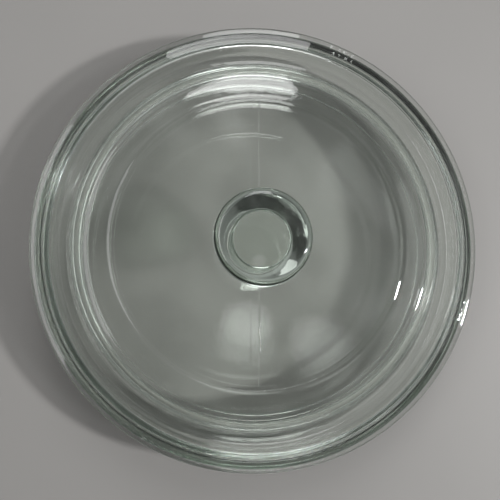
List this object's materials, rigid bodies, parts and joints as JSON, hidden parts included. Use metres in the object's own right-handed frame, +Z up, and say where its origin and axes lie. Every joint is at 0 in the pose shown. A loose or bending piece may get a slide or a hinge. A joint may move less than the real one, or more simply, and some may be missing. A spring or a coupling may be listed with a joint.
{
  "type": "covered glass dish",
  "caption": "Shallow round pressed-glass dish on a foot ring, with a flanged, domed cover that drops inside its rim and lifts off by a solid moulded knob.",
  "frame": {"origin": "on the table, under the centre of the dish's foot ring", "axes": "+Z up along the common axis of the dish, the cover and the knob; +Y along the seam of the knob's mould"},
  "size_m": [0.2, 0.2, 0.0538],
  "materials": {
    "dish_glass": "clear pressed soda-lime glass",
    "cover_glass": "clear pressed soda-lime glass"
  },
  "bodies": {
    "dish": {"dish": "dish_glass"},
    "cover": {"cover": "cover_glass"}
  },
  "joints": [
    {"name": "cover_lift", "type": "slide", "parent": "dish", "child": "cover", "axis": [0, 0, 1], "range_m": [0, 0.06]}
  ]
}
